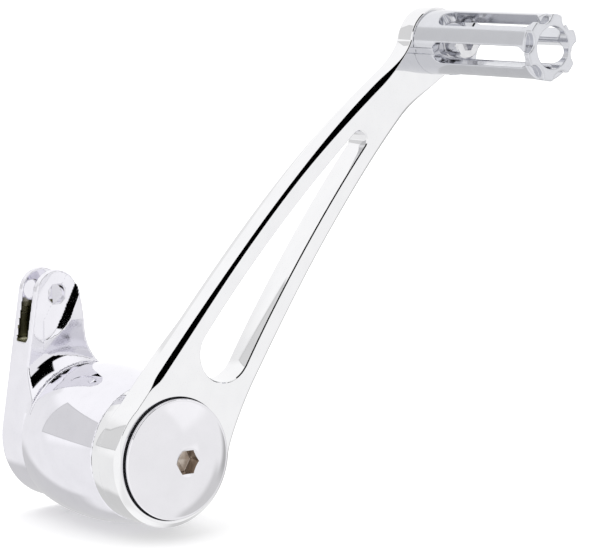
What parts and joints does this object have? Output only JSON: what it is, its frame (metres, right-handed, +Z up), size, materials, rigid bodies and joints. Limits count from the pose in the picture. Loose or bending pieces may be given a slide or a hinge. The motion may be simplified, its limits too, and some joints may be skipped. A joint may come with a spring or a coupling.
{
  "type": "rear brake pedal",
  "caption": "Chromed motorcycle brake pedal: a flat windowed arm from a round pivot hub with a clevis fork and domed cap up to a hollow slotted foot peg.",
  "frame": {"origin": "on the pivot axis, at mid-length of the hub", "axes": "+X towards the front of the bike, +Z up, +Y inboard along the pivot axis, so the cap and the foot peg point along -Y"},
  "size_m": [0.1892, 0.158, 0.2139],
  "materials": {
    "arm_chrome": "bright chrome over a polished casting",
    "hub_chrome": "bright chrome over a polished casting",
    "cap_chrome": "bright chrome",
    "peg_metal": "chrome, a little duller than the arm",
    "seal_rubber": "black rubber",
    "screw_steel": "plain steel",
    "bush_bronze": "sintered bronze"
  },
  "bodies": {
    "root": {"pedal_arm": "arm_chrome", "pivot_hub": "hub_chrome", "pivot_cap": "cap_chrome", "cap_seal_ring": "seal_rubber", "joint_screws": "screw_steel", "locating_dowels": "screw_steel", "outer_bush": "bush_bronze", "inner_bush": "bush_bronze", "dust_seal": "seal_rubber", "foot_peg": "peg_metal", "peg_screw": "screw_steel", "peg_washer": "screw_steel", "peg_pin": "screw_steel"}
  },
  "joints": []
}
